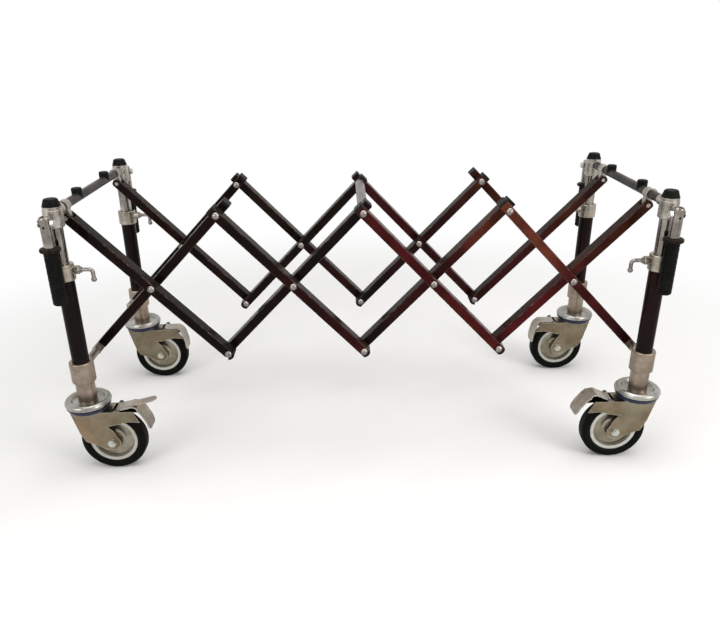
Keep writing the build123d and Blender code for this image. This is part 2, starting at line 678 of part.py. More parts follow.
def handle_grip(side):
    """Moulded rubber grip with a hand flange and shallow finger rings."""
    plane = Plane(origin=(side * LEG_X, -HANDLE_Y, 0), x_dir=(1, 0, 0), z_dir=(0, -1, 0))
    flange_bottom = GRIP_TOP_Z - GRIP_FLANGE_HEIGHT
    ring_count = 7
    ring_step = (flange_bottom - GRIP_BOTTOM_Z - 20) / ring_count
    with BuildPart() as grip:
        with BuildSketch(plane):
            with Locations((0, GRIP_BOTTOM_Z)):
                Rectangle(GRIP_R, GRIP_TOP_Z - GRIP_BOTTOM_Z, align=(Align.MIN, Align.MIN))
            with Locations((0, flange_bottom)):
                Rectangle(GRIP_FLANGE_R, GRIP_FLANGE_HEIGHT, align=(Align.MIN, Align.MIN))
            with Locations([(GRIP_R, GRIP_BOTTOM_Z + 10 + ring_step * n) for n in range(ring_count + 1)]):
                Rectangle(1.6, 3, mode=Mode.SUBTRACT)
        revolve(axis=Axis((side * LEG_X, -HANDLE_Y, 0), (0, 0, 1)))
        fillet(grip.edges().group_by(Axis.Z)[0], radius=5)
        fillet(grip.faces().filter_by(GeomType.CYLINDER).sort_by(SortBy.RADIUS)[-1].edges(), radius=3)
        with BuildSketch(Plane.XY.offset(GRIP_BOTTOM_Z + 6)):
            with Locations((side * LEG_X, -HANDLE_Y)):
                Circle(HANDLE_R + RUNNING)
        extrude(amount=GRIP_TOP_Z, mode=Mode.SUBTRACT)
    return grip.part


# The caster pieces are drawn about their own swivel axis, with the wheel trailing along +X.
def wheel_rim():
    half = TYRE_WIDTH / 2 - 3
    with BuildPart() as rim:
        with BuildSketch(Plane.XY) as outline:
            with BuildLine():
                Polyline(
                    (CASTER_AXLE_R + RUNNING, 0),
                    (CASTER_AXLE_R + RUNNING, HUB_HALF),
                    (10, HUB_HALF),
                    (10, 15),
                    (17, 14),
                    (19, 6),
                    (24, 3),
                    (RIM_R - 12, 3),
                    (RIM_R - 8, half - 1),
                    (RIM_R - 1, half),
                    (RIM_R, half - 1),
                    (RIM_R, 0),
                    close=True,
                )
            make_face()
            mirror(about=Plane.XZ)
        revolve(axis=Axis.Y)
    return rim.part


def wheel_tyre():
    half = TYRE_WIDTH / 2
    tread = half - 7
    with BuildPart() as tyre:
        with BuildSketch(Plane.XY):
            with BuildLine():
                side_wall = Polyline(
                    (RIM_R, 0), (RIM_R, half - 3.5), (RIM_R + 4, half), (WHEEL_R - 8, half)
                )
                crown = ThreePointArc(side_wall @ 1, (WHEEL_R - 2, half - 3), (WHEEL_R, tread))
                Polyline(crown @ 1, (WHEEL_R, 0), side_wall @ 0)
            make_face()
            mirror(about=Plane.XZ)
        revolve(axis=Axis.Y)
    return tyre.part


def caster_fork():
    """Pressed fork with its swivel head, front web and the brake housing, open on top."""
    outer = FORK_INNER + FORK_SHEET
    head_bottom = FORK_TOP_Z - FORK_HEAD_THICKNESS
    roof = HOUSING_TOP_Z - FORK_SHEET
    front = [(-38, head_bottom), (-24, 100), (-12, 76), (35, 55)]
    rear = [(61, 78), (51, 100), (17, 142), (17, head_bottom)]
    housing = [(10, HOUSING_TOP_Z), (98, HOUSING_TOP_Z), (111, 122), (88, 124), (45, 114), (20, 122)]
    web = [(-35, head_bottom), (-22.5, 106), (-40, 106), (-40, 40)]
    inside = [(120, 40), (120, roof), (16, roof), (16, head_bottom)]
    with BuildPart() as fork:
        with BuildSketch(Plane.XZ):
            with BuildLine():
                Polyline(*front, *rear, close=True)
            make_face()
            with Locations((TRAIL, WHEEL_R)):
                Circle(18)
            with BuildLine():
                Polyline(*housing, close=True)
            make_face()
            with Locations(PEDAL_PIVOT):
                Circle(PEDAL_EAR_R)
        extrude(amount=outer, both=True)
        with BuildSketch(Plane.XZ):
            with BuildLine():
                Polyline(*web, *inside, close=True)
            make_face()
            with Locations((HOUSING_MOUTH, 110)):
                Rectangle(90, 60, align=(Align.MIN, Align.MIN))
        extrude(amount=FORK_INNER, both=True, mode=Mode.SUBTRACT)
        fillet(
            fork.edges()
            .filter_by(Axis.Y, reverse=True)
            .filter_by_position(Axis.X, -40, -22)
            .filter_by_position(Axis.Y, -outer - 0.1, -outer + 0.1),
            radius=2.5,
        )
        with BuildSketch(Plane.XY.offset(head_bottom)):
            Circle(FORK_HEAD_R)
        extrude(amount=FORK_HEAD_THICKNESS)
        with BuildSketch(Plane.XY.offset(head_bottom)):
            Circle(KINGPIN_R + RUNNING)
        extrude(amount=FORK_HEAD_THICKNESS, mode=Mode.SUBTRACT)
        with BuildSketch(Plane.XZ):
            with Locations((TRAIL, WHEEL_R)):
                Circle(CASTER_AXLE_R + RUNNING)
            with Locations(PEDAL_PIVOT):
                Circle(PEDAL_PIN_R + RUNNING)
        extrude(amount=outer * 2, both=True, mode=Mode.SUBTRACT)
    return fork.part


def caster_axle():
    """Hexagon bolt through fork and wheel, with its nut."""
    outer = FORK_INNER + FORK_SHEET
    with BuildPart() as axle:
        with BuildSketch(Plane.XZ):
            with Locations((TRAIL, WHEEL_R)):
                Circle(CASTER_AXLE_R)
        extrude(amount=outer + 8, both=True)
        with BuildSketch(Plane.XZ.offset(outer), Plane.XZ.offset(-outer - 6)):
            with Locations((TRAIL, WHEEL_R)):
                RegularPolygon(9, 6)
        extrude(amount=6)
    return axle.part


def pedal_pin():
    with BuildPart() as pin:
        with BuildSketch(Plane.XZ):
            with Locations(PEDAL_PIVOT):
                Circle(PEDAL_PIN_R)
        extrude(amount=FORK_INNER + FORK_SHEET, both=True)
    return pin.part


def brake_pedal(tabbed):
    """Bent pedal plate over the tyre, in its lowest place. One of the four has a toe tab."""
    x, z = PEDAL_PIVOT
    plate_z = z + 1
    half = FORK_INNER + FORK_SHEET
    profile = [(x, plate_z), (98, plate_z), (106, 145), (113, 130), (118, 108), (119, 88)]
    with BuildPart() as pedal:
        with BuildSketch(Plane.XZ):
            with BuildLine():
                bend = FilletPolyline(*profile, radius=4)
                offset(bend, amount=PEDAL_SHEET / 2, side=Side.BOTH)
            make_face()
        extrude(amount=half, both=True)
        with BuildSketch(Plane.YZ):
            with Locations((0, 86)):
                RectangleRounded(2 * half, WHEEL_R * 2, 12, align=(Align.CENTER, Align.MIN))
        extrude(amount=WHEEL_R * 3, mode=Mode.INTERSECT)
        with BuildSketch(Plane.XY):
            Rectangle(108, WHEEL_R, align=(Align.MIN, Align.CENTER))
            Rectangle(108, 2 * FORK_INNER - 2, align=(Align.MIN, Align.CENTER), mode=Mode.SUBTRACT)
        extrude(amount=WHEEL_R * 3, mode=Mode.SUBTRACT)
        if tabbed:
            with BuildSketch(Plane.XY.offset(plate_z)):
                with Locations((96, 0)):
                    Rectangle(44, 24, align=(Align.MIN, Align.CENTER))
                with Locations((140, 0)):
                    Circle(12)
            extrude(amount=PEDAL_SHEET / 2, both=True)
        with BuildSketch(Plane.XZ):
            with Locations(PEDAL_PIVOT):
                Circle(PEDAL_BARREL_R)
        extrude(amount=FORK_INNER - 1, both=True)
        with BuildSketch(Plane.XZ):
            with Locations(PEDAL_PIVOT):
                Circle(PEDAL_PIN_R + RUNNING)
        extrude(amount=FORK_INNER, both=True, mode=Mode.SUBTRACT)
    return pedal.part


def corner_place(corner):
    """Where a caster drawn about its own axis stands: its wheel trails towards the middle."""
    side, across = CORNERS[corner]
    return Location((side * LEG_X, across * LEG_Y, 0), (0, 0, 180 if side > 0 else 0))


# Lower and upper end frames
for place, side in SIDES.items():
    save(f"leg_tubes_{place}", leg_tube(side))
    save(f"leg_sockets_{place}", *leg_socket(side))
    save(f"lock_collars_{place}", lock_collar(side))
    save(f"caster_raceways_{place}", caster_raceway(side))
    save(f"dust_seals_{place}", dust_seal(side))
    save(f"inner_tubes_{place}", inner_tube(side))
    save(f"leg_heads_{place}", leg_head(side), rail_hub(side), handle_bolt(side))
    save(f"end_rail_{place}", end_rail(side))
    save(f"rubber_pads_{place}", corner_pad(side), rail_pad(side))

# Lattices. The fittings of a bar are the bolts and spacers that it carries, and its end eyes.
for index in range(1, 5):
    save(f"rising_bars_{index}", *bar(index, rising=True))
    save(f"falling_bars_{index}", *bar(index, rising=False))
    bolts = pivot_bolt("upper", index, crossing=True)
    if index < 4:
        bolts += pivot_bolt("upper", index)
    if index > 1:
        bolts += pivot_bolt("lower", index - 1)
    if index == 1:
        bolts.append(end_eye(1, rising=True))
    save(f"rising_fittings_{index}", *bolts)
save("falling_fittings_4", end_eye(4, rising=False))
save("cross_rail", cross_rail())

# Pieces of each corner
wheel_place = Location((TRAIL, 0, WHEEL_R))
fork = caster_fork()
axle = caster_axle()
pin = pedal_pin()
rim = wheel_rim().moved(wheel_place)
tyre = wheel_tyre().moved(wheel_place)
raised = Axis((PEDAL_PIVOT[0], 0, PEDAL_PIVOT[1]), (0, -1, 0))
for corner, (side, across) in CORNERS.items():
    stand = corner_place(corner)
    save(f"caster_fork_{corner}", fork.moved(stand), axle.moved(stand), pin.moved(stand))
    save(f"wheel_rim_{corner}", rim.moved(stand))
    save(f"wheel_tyre_{corner}", tyre.moved(stand))
    pedal = brake_pedal(tabbed=corner == "near_left")
    save(f"brake_pedal_{corner}", pedal.rotate(raised, PEDAL_RAISED[corner]).moved(stand))
    lever, tube, grip = lock_lever(side), handle_tube(side), handle_grip(side)
    if across > 0:
        lever, tube, grip = [mirror(piece, about=Plane.XZ) for piece in (lever, tube, grip)]
    save(f"lock_lever_{corner}", lever)
    save(f"handle_tube_{corner}", tube)
    save(f"handle_grip_{corner}", grip)
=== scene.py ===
import math

import bpy
from mathutils import Matrix, Vector

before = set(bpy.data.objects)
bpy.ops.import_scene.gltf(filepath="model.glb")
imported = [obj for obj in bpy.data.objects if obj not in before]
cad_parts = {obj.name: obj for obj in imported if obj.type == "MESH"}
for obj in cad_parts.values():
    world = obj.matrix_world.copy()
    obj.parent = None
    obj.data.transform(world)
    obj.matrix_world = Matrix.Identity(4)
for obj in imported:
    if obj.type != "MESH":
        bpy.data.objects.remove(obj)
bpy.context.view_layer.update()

# Materials, floor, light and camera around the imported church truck. Metres, Z up.
# A node's object coordinates are its places in the truck at rest, so the masks below
# that pick out a plug, a bolt or a band stay on the piece when it moves.

# Sizes of lattice, legs and wheels, the same as in the CAD
BAR_PITCH = 0.433
REST_ANGLE = math.radians(46.1)
LOWER_PIVOT_Z = 0.255
HALF = BAR_PITCH / 2
NODE_STEP = BAR_PITCH * math.cos(REST_ANGLE)
CROSS_Z = LOWER_PIVOT_Z + HALF * math.sin(REST_ANGLE)
LEG_X = 2 * NODE_STEP + 0.0075
LEG_Y = 0.218
WHEEL_X = LEG_X - 0.045
WHEEL_Z = 0.072

# Where the masks begin. Plugs and scrapes are measured along a bar from its middle
MASK_EDGE = 0.0001
LOWER_PLUG = HALF + 0.008
UPPER_PLUG = HALF + 0.012
UPPER_PLUG_EYED = HALF + 0.020
SCRAPE = (HALF - 0.012, HALF + 0.004)
SEAM_TOP_Z = 0.275
SEAM_DEPTH = 0.012
HANDLE_BOLT_X = 0.0113
HANDLE_BOLT_Y = 0.2512
AXLE_BOLT_Y = 0.02215
FORK_SHADE_BAND_Z = 0.1532
GRIP_FLANGE_Z = 0.5215
RIM_LIP = (0.040, 0.0445)
RIM_BORE = (0.022, 0.015)
TREAD = (0.0695, 0.0715)
TYRE_BANDS = ((0.0570, 0.0575, 0.0590, 0.0585), (0.0628, 0.0632, 0.0642, 0.0638))

# Turning marks and ribs, in radians a metre
RIM_TURNING = 9000.0
GRIP_RIBS = 4200.0

# Where the painted light turns the paint from nearly black, in painted shade, to red where lit,
# along X
PAINTED_LIGHT_LEGS = (-0.42, 0.28)
PAINTED_LIGHT_BARS = {"rising": (0.0, 0.32), "falling": (-0.24, 0.14)}

# Surroundings: low, high, and what they give
FLOOR_REACH = 60.0
FLOOR_FADE = (0.75, 1.8)
SKY_BY_HEIGHT = (0.05, 0.85, 0.36, 0.84)
SKY_BY_SIDE = (0.10, 0.85, 0.22, 1.20)
SKY_COLOUR = (1.0, 0.985, 0.965)
STRIP_COLOUR = (1.0, 0.985, 0.96)

CAMERA_PLACE = (-0.0400, -1.5103, 0.9092)
CAMERA_YAW, CAMERA_PITCH, CAMERA_ROLL = (math.radians(a) for a in (-1.336, 22.885, -0.519))
CAMERA_LENS = 33.39
CAMERA_SENSOR = 36.0


class Tree:
    """Short calls for the nodes of a material or a world."""

    def __init__(self, owner):
        owner.use_nodes = True
        self.nodes = owner.node_tree.nodes
        self.links = owner.node_tree.links
        self.nodes.clear()

    def add(self, kind, **settings):
        node = self.nodes.new(kind)
        for name, value in settings.items():
            setattr(node, name, value)
        return node

    def feed(self, socket, value):
        """Links an output to a node's socket, or sets the socket to a plain value."""
        if isinstance(value, bpy.types.NodeSocket):
            self.links.new(value, socket)
        elif socket.type == "RGBA":
            socket.default_value = (*value, 1)
        else:
            socket.default_value = value

    def feed_all(self, sockets, values):
        for socket, value in zip(sockets, values):
            self.feed(socket, value)

    def split(self, vector):
        node = self.add("ShaderNodeSeparateXYZ")
        self.feed(node.inputs[0], vector)
        return node.outputs

    def math(self, operation, *values):
        node = self.add("ShaderNodeMath", operation=operation)
        self.feed_all(node.inputs, values)
        return node.outputs[0]

    def both(self, *masks):
        """The product of several masks."""
        made = masks[0]
        for mask in masks[1:]:
            made = self.math("MULTIPLY", made, mask)
        return made

    def either(self, a, b):
        return self.math("MAXIMUM", a, b)

    def away(self, value, middle):
        """How far value is from middle, to either side."""
        return self.math("ABSOLUTE", self.math("SUBTRACT", value, middle))

    def length(self, a, b):
        squares = [self.math("POWER", side, 2.0) for side in (a, b)]
        return self.math("SQRT", self.math("ADD", *squares))

    def ramp(self, value, low, high, start=0.0, end=1.0):
        """value turned smoothly from start to end as it goes from low to high."""
        node = self.add("ShaderNodeMapRange", interpolation_type="SMOOTHSTEP")
        self.feed_all(node.inputs, (value, low, high, start, end))
        return node.outputs[0]

    def shown_white(self):
        """1 for rays that show the backdrop, directly, mirrored or through something."""
        path = self.add("ShaderNodeLightPath").outputs
        direct = self.either(path["Is Camera Ray"], path["Is Glossy Ray"])
        return self.either(direct, path["Is Transmission Ray"])


class Graph(Tree):
    """A principled material. Keywords are the shader's sockets, with _ for a space."""

    def __init__(self, name, **sockets):
        self.material = bpy.data.materials.new(name)
        super().__init__(self.material)
        self.shader = self.add("ShaderNodeBsdfPrincipled")
        self.output = self.add("ShaderNodeOutputMaterial")
        self.feed(self.output.inputs["Surface"], self.shader.outputs["BSDF"])
        own = self.add("ShaderNodeTexCoord")
        self.place, self.normal = own.outputs["Object"], own.outputs["Normal"]
        self.x, self.y, self.z = self.split(self.place)
        for socket, value in sockets.items():
            self.shader.inputs[socket.replace("_", " ")].default_value = value

    def mix(self, share, a, b):
        node = self.add("ShaderNodeMix", data_type="RGBA")
        self.feed_all((node.inputs[0], node.inputs[6], node.inputs[7]), (share, a, b))
        return node.outputs[2]

    def noise(self, scale, detail=2.0, roughness=0.5, stretch=(1, 1, 1)):
        mapping = self.add("ShaderNodeMapping")
        mapping.inputs["Scale"].default_value = stretch
        self.feed(mapping.inputs["Vector"], self.place)
        node = self.add("ShaderNodeTexNoise")
        node.inputs["Scale"].default_value = scale
        node.inputs["Detail"].default_value = detail
        node.inputs["Roughness"].default_value = roughness
        self.feed(node.inputs["Vector"], mapping.outputs[0])
        return node.outputs[0]

    def patchy(self, scale, low, high):
        """Two colours in soft patches."""
        return self.mix(self.ramp(self.noise(scale, 4, 0.6), 0.35, 0.7), low, high)

    def uneven(self, scale, low, high):
        """A roughness that varies softly between two values."""
        return self.ramp(self.noise(scale, 4, 0.7), 0.3, 0.75, low, high)

    def cells(self, scale):
        node = self.add("ShaderNodeTexVoronoi")
        node.inputs["Scale"].default_value = scale
        self.feed(node.inputs["Vector"], self.place)
        return node.outputs[0]

    def edges(self, radius, low, high):
        """A mask of sharp edges, from how far a rounded normal turns from the true one."""
        bevel = self.add("ShaderNodeBevel", samples=4)
        bevel.inputs["Radius"].default_value = radius
        geometry = self.add("ShaderNodeNewGeometry")
        node = self.add("ShaderNodeVectorMath", operation="DOT_PRODUCT")
        self.feed_all(node.inputs, (bevel.outputs[0], geometry.outputs["Normal"]))
        return self.ramp(node.outputs["Value"], high, low)

    def facing(self, axis):
        """How far the surface faces along an axis of the piece at rest, from -1 to 1."""
        return self.split(self.normal)["XYZ".index(axis)]

    def past(self, value, limit):
        """1 where value is above limit, with a hair-wide edge."""
        return self.ramp(value, limit - MASK_EDGE, limit + MASK_EDGE)

    def wheel_radius(self):
        """Distance from the nearer axle at rest."""
        across = self.math("SUBTRACT", self.math("ABSOLUTE", self.x), WHEEL_X)
        return self.length(across, self.math("SUBTRACT", self.z, WHEEL_Z))

    def metal(self, value):
        self.feed(self.shader.inputs["Metallic"], value)

    def finish(self, colour, roughness, *layers):
        """Feeds the shader. Each bump layer is a height, its strength and its depth in metres."""
        self.feed(self.shader.inputs["Base Color"], colour)
        self.feed(self.shader.inputs["Roughness"], roughness)
        normal = None
        for height, strength, depth in layers:
            node = self.add("ShaderNodeBump")
            node.inputs["Strength"].default_value = strength
            node.inputs["Distance"].default_value = depth
            self.feed(node.inputs["Height"], height)
            if normal:
                self.feed(node.inputs["Normal"], normal)
            normal = node.outputs[0]
        self.feed(self.shader.inputs["Normal"], normal)
        return self.material


# Painted bars, legs and rails
def burgundy(g, start, end):
    """Dark burgundy with painted light: nearly black in painted shade up to start, red where lit
    from end on, painted shade at the right end.
    """
    # The red share is painted light and painted shade: red towards the right, nearly black on the
    # left, shaded at the right end and on the far side.
    along = g.both(
        g.ramp(g.x, start, end),
        g.ramp(g.x, 0.63, 0.45, 0.15, 1.0),
        g.ramp(g.y, 0.05, -0.05, 0.45, 1.0),
    )
    patches = g.ramp(g.noise(9, 3, 0.6), 0.35, 0.7)
    dark = g.mix(patches, (0.0042, 0.0030, 0.0024), (0.012, 0.0046, 0.0036))
    lit_crimson = g.mix(patches, (0.030, 0.0030, 0.0034), (0.092, 0.0085, 0.0098))
    brightly_lit_brick = g.mix(patches, (0.060, 0.013, 0.0080), (0.165, 0.045, 0.024))
    # Painted light: brick red where the light falls on the upper right.
    painted_light_upper_right = g.both(g.ramp(g.z, 0.34, 0.56), g.ramp(g.x, 0.14, 0.30))
    body = g.mix(along, dark, g.mix(painted_light_upper_right, lit_crimson, brightly_lit_brick))
    flakes = g.ramp(g.noise(900, 1), 0.62, 0.72, 0, 0.25)
    return g.mix(flakes, body, (0.16, 0.05, 0.04))


def paint_finish(g, body, plugs=None):
    """Adds wear with a painted edge highlight, dust, roughness and orange peel to a paint, and
    black plugs where masked.
    """
    if plugs:
        across = g.math("ABSOLUTE", g.facing("Y"))
        corner = g.both(g.ramp(across, 0.12, 0.3), g.ramp(across, 0.97, 0.9))
    else:
        corner = g.edges(0.0015, 0.85, 0.97)
    # Tan along the corners: partly rubbed paint, partly a painted edge highlight.
    rub_and_edge_highlight = g.both(corner, g.ramp(g.noise(60, 4, 0.7), 0.44, 0.70, 0.03, 0.42))
    streak = g.ramp(g.noise(55, 5, 0.65, (1, 1, 9)), 0.6, 0.78, 0, 0.3)
    specks = g.ramp(g.noise(140, 5, 0.7), 0.4, 0.75, 0.02, 0.14)
    dust = g.both(g.ramp(g.facing("Z"), 0.35, 0.85), specks)
    body = g.mix(rub_and_edge_highlight, body, (0.26, 0.19, 0.15))
    body = g.mix(dust, body, (0.24, 0.20, 0.17))
    gloss = g.math("ADD", g.ramp(g.noise(35, 4, 0.6), 0.3, 0.8, 0.16, 0.36), streak)
    if plugs:
        grain = g.ramp(g.noise(1500, 2), 0.3, 0.7)
        black = g.mix(grain, (0.010, 0.010, 0.010), (0.022, 0.021, 0.020))
        body = g.mix(plugs, body, black)
        gloss = g.math("ADD", g.math("MULTIPLY", plugs, 0.22), gloss)
    orange_peel = (g.noise(420, 2, 0.5), 0.10, 0.0004)
    waviness = (g.noise(60, 3, 0.6), 0.08, 0.0009)
    return g.finish(body, gloss, orange_peel, waviness)


def bar_material(kind, index):
    """Paint of the near and the far bar of one place, with the plugs in their open ends."""
    g = Graph(f"bar_paint_{kind}_{index}", IOR=1.5, Coat_Weight=0.06, Coat_Roughness=0.07,
              Specular_IOR_Level=0.02)
    eyed = (kind, index) in (("rising", 1), ("falling", 4))
    forked = (kind, index) in (("rising", 4), ("falling", 1))
    turn = 1 if kind == "rising" else -1
    centre = (index - 2.5) * NODE_STEP
    across = g.math("MULTIPLY", g.math("SUBTRACT", g.x, centre), turn * math.cos(REST_ANGLE))
    up = g.math("MULTIPLY", g.math("SUBTRACT", g.z, CROSS_Z), math.sin(REST_ANGLE))
    along = g.math("ADD", across, up)
    lower = g.past(g.math("MULTIPLY", along, -1.0), LOWER_PLUG)
    upper = g.past(along, UPPER_PLUG_EYED if eyed else UPPER_PLUG)
    plugs = lower if forked else upper if eyed else g.either(upper, lower)
    # Painted shade: the top and bottom faces are darkened to nearly black, the lit front and back
    # faces keep the red.
    painted_shade_top_and_bottom = g.ramp(g.math("ABSOLUTE", g.facing("Y")), 0.7, 0.2, 0, 0.72)
    body = g.mix(painted_shade_top_and_bottom, burgundy(g, *PAINTED_LIGHT_BARS[kind]), (0.0085, 0.0072, 0.0056))
    if forked:
        scrape = g.both(g.ramp(along, *SCRAPE), g.ramp(g.noise(190, 4, 0.7), 0.5, 0.7, 0, 0.5))
        body = g.mix(scrape, body, (0.20, 0.155, 0.13))
    return paint_finish(g, body, plugs)


def leg_material():
    g = Graph("leg_paint", IOR=1.5, Coat_Weight=0.10, Coat_Roughness=0.08,
              Specular_IOR_Level=0.03)
    # The legs take the bars' painted light: red where lit towards the right, nearly black in
    # painted shade on the left.
    body = g.mix(0.66, burgundy(g, *PAINTED_LIGHT_LEGS), (0.0055, 0.0032, 0.0026))
    seam = g.ramp(g.math("SUBTRACT", SEAM_TOP_Z, g.z), 0.0, SEAM_DEPTH, 0, 0.5)
    return paint_finish(g, g.mix(seam, body, (0.02, 0.012, 0.010)))


def rail_material(name, low, high):
    g = Graph(name, IOR=1.5, Coat_Weight=0.04, Coat_Roughness=0.25, Specular_IOR_Level=0.05)
    return paint_finish(g, g.patchy(14, low, high))


# Bare metal
def metal_base(name, low, high, scale):
    g = Graph(name, Metallic=1.0)
    return g, g.patchy(scale, low, high)


def cast_material():
    """Cast heads and hubs, fine grained, with the brighter handle bolts."""
    g, body = metal_base("cast_aluminium", (0.26, 0.235, 0.205), (0.46, 0.425, 0.38), 45)
    outside = g.past(g.math("ABSOLUTE", g.y), HANDLE_BOLT_Y)
    bolt = g.both(g.past(g.away(g.math("ABSOLUTE", g.x), LEG_X), HANDLE_BOLT_X), outside)
    pits = g.ramp(g.noise(700, 3, 0.6), 0.62, 0.75)
    body = g.mix(g.math("MULTIPLY", pits, 0.5), body, (0.20, 0.18, 0.16))
    body = g.mix(g.edges(0.0012, 0.85, 0.98), body, (0.66, 0.62, 0.56))
    body = g.mix(bolt, body, (0.62, 0.60, 0.56))
    gloss = g.math("SUBTRACT", g.uneven(90, 0.28, 0.50), g.math("MULTIPLY", bolt, 0.14))
    return g.finish(body, gloss, (g.noise(900, 3, 0.6), 0.25, 0.0003),
                    (g.noise(160, 2), 0.12, 0.0006))


def turned_material(name, low, high, gloss):
    """Turned sleeve: fine rings round the leg, and darker stains."""
    g, body = metal_base(name, low, high, 30)
    rings = g.noise(1.0, 3, 0.7, (4, 4, 1400))
    stain = g.ramp(g.noise(50, 5, 0.7, (1, 1, 0.35)), 0.55, 0.75, 0, 0.6)
    body = g.mix(stain, body, (0.14, 0.10, 0.075))
    body = g.mix(g.edges(0.0012, 0.85, 0.98), body, (0.60, 0.54, 0.47))
    body = g.mix(g.ramp(rings, 0.35, 0.65, 0, 0.25), body, (0.16, 0.13, 0.10))
    turned = g.ramp(rings, 0.3, 0.7, gloss, gloss + 0.12)
    return g.finish(body, g.math("ADD", turned, g.math("MULTIPLY", stain, 0.2)),
                    (rings, 0.22, 0.0002), (g.noise(220, 2), 0.06, 0.0005))


def polished_material():
    """Polished tubes with dull streaks, hand marks and light vertical drawing lines."""
    g, body = metal_base("polished_steel", (0.20, 0.178, 0.155), (0.42, 0.388, 0.350), 24)
    streak = g.ramp(g.noise(1.0, 3, 0.6, (110, 110, 7)), 0.47, 0.66, 0, 0.55)
    body = g.mix(streak, body, (0.10, 0.085, 0.070))
    lines = g.noise(1.0, 3, 0.7, (900, 900, 6))
    smear = g.ramp(g.noise(38, 5, 0.7), 0.45, 0.75)
    spot = g.ramp(g.noise(260, 3, 0.6), 0.68, 0.76, 0, 0.7)
    gloss = g.math("ADD", g.math("MULTIPLY", smear, 0.12), g.ramp(lines, 0.3, 0.7, 0.08, 0.15))
    return g.finish(g.mix(spot, body, (0.16, 0.11, 0.07)), gloss,
                    (lines, 0.06, 0.0002), (g.noise(120, 2), 0.04, 0.0005))


def bright_material():
    """Bolts, levers and end eyes."""
    g, body = metal_base("bright_steel", (0.18, 0.160, 0.148), (0.36, 0.328, 0.308), 90)
    body = g.mix(g.edges(0.001, 0.8, 0.98), body, (0.56, 0.53, 0.50))
    grime = g.ramp(g.noise(320, 4, 0.7), 0.55, 0.75, 0, 0.55)
    return g.finish(g.mix(grime, body, (0.10, 0.08, 0.066)), g.uneven(150, 0.18, 0.36),
                    (g.noise(800, 2), 0.10, 0.0003))


def zinc_material(name, low, high, fork=False):
    """Zinc plate: spangled, with faint green and orange tints, grime, and rubbed edges lightened
    further by a painted edge highlight.

    A fork also has paler axle bolts and a dark blue band round its top, a painted shade under the
    raceway tinted like the seal.
    """
    g, body = metal_base(name, low, high, 18)
    tint = g.noise(11, 2, 0.5)
    body = g.mix(g.ramp(tint, 0.52, 0.72, 0, 0.35), body, (0.27, 0.29, 0.20))
    body = g.mix(g.ramp(tint, 0.46, 0.28, 0, 0.35), body, (0.40, 0.24, 0.15))
    spangle = g.cells(420)
    body = g.mix(g.ramp(spangle, 0.1, 0.7, 0, 0.20), body, (0.17, 0.145, 0.11))
    grime = g.ramp(g.noise(75, 5, 0.75), 0.56, 0.76, 0, 0.5)
    body = g.mix(grime, body, (0.10, 0.08, 0.06))
    # Edges lightened: partly rubbed zinc, partly a painted edge highlight.
    body = g.mix(g.edges(0.0016, 0.84, 0.99), body, (0.80, 0.74, 0.63))
    gloss = g.uneven(60, 0.22, 0.42)
    if fork:
        bolt = g.past(g.away(g.math("ABSOLUTE", g.y), LEG_Y), AXLE_BOLT_Y)
        body = g.mix(bolt, body, (0.50, 0.51, 0.47))
        gloss = g.math("SUBTRACT", gloss, g.math("MULTIPLY", bolt, 0.1))
        # Painted shade: dark blue and not metal above this height, where the raceway shades the
        # fork's top.
        painted_shade_band = g.past(g.z, FORK_SHADE_BAND_Z)
        body = g.mix(painted_shade_band, body, (0.012, 0.014, 0.050))
        g.metal(g.math("SUBTRACT", 1.0, painted_shade_band))
    return g.finish(body, gloss, (spangle, 0.05, 0.0002), (g.noise(260, 3, 0.6), 0.10, 0.0004))


def rim_material():
    """Pressed wheel disc: bright lip, warmer dish and a dark bore round the hub."""
    g = Graph("wheel_rim_metal", Metallic=0.85, Coat_Weight=0.2, Coat_Roughness=0.2)
    radius = g.wheel_radius()
    turned = g.math("SINE", g.math("MULTIPLY", radius, RIM_TURNING))
    dish = g.patchy(30, (0.20, 0.175, 0.125), (0.33, 0.300, 0.235))
    broad = g.ramp(g.noise(1.0, 2, 0.6), 0.3, 0.7)
    lip = g.mix(broad, (0.42, 0.41, 0.37), (0.58, 0.57, 0.53))
    body = g.mix(g.ramp(radius, *RIM_LIP), dish, lip)
    body = g.mix(g.ramp(radius, *RIM_BORE, 0, 0.6), body, (0.09, 0.07, 0.05))
    grime = g.ramp(g.noise(110, 5, 0.75), 0.52, 0.78, 0, 0.5)
    gloss = g.math("ADD", g.ramp(turned, -1, 1, 0.24, 0.32), g.math("MULTIPLY", grime, 0.3))
    return g.finish(g.mix(grime, body, (0.16, 0.135, 0.10)), gloss,
                    (turned, 0.04, 0.0001), (g.noise(240, 3), 0.08, 0.0004))


# Rubber and plastic
def rubber(name, low, high, dust, share, grain=1100.0, gloss=(0.42, 0.62), level=0.05):
    """A dusty dark body, its roughness and its grain, for a material to finish."""
    g = Graph(name, Specular_IOR_Level=level)
    body = g.patchy(40, low, high)
    film = g.both(g.ramp(g.facing("Z"), -0.2, 0.9, 0.15, 1),
                  g.ramp(g.noise(90, 5, 0.75), 0.45, 0.8, 0, share))
    body = g.mix(film, body, dust)
    body = g.mix(g.math("MULTIPLY", g.edges(0.0012, 0.82, 0.98), 0.10), body, dust)
    return g, body, g.uneven(70, *gloss), (g.noise(grain, 3, 0.6), 0.22, 0.0003)


def pad_material():
    g, *finish = rubber("pad_rubber", (0.004, 0.0045, 0.004), (0.009, 0.009, 0.0085),
                        (0.07, 0.066, 0.060), 0.22)
    return g.finish(*finish)


def seal_material():
    g, *finish = rubber("seal_plastic", (0.0045, 0.0050, 0.026), (0.0080, 0.0095, 0.044),
                        (0.06, 0.06, 0.075), 0.15, 700.0, (0.30, 0.48), 0.3)
    return g.finish(*finish)


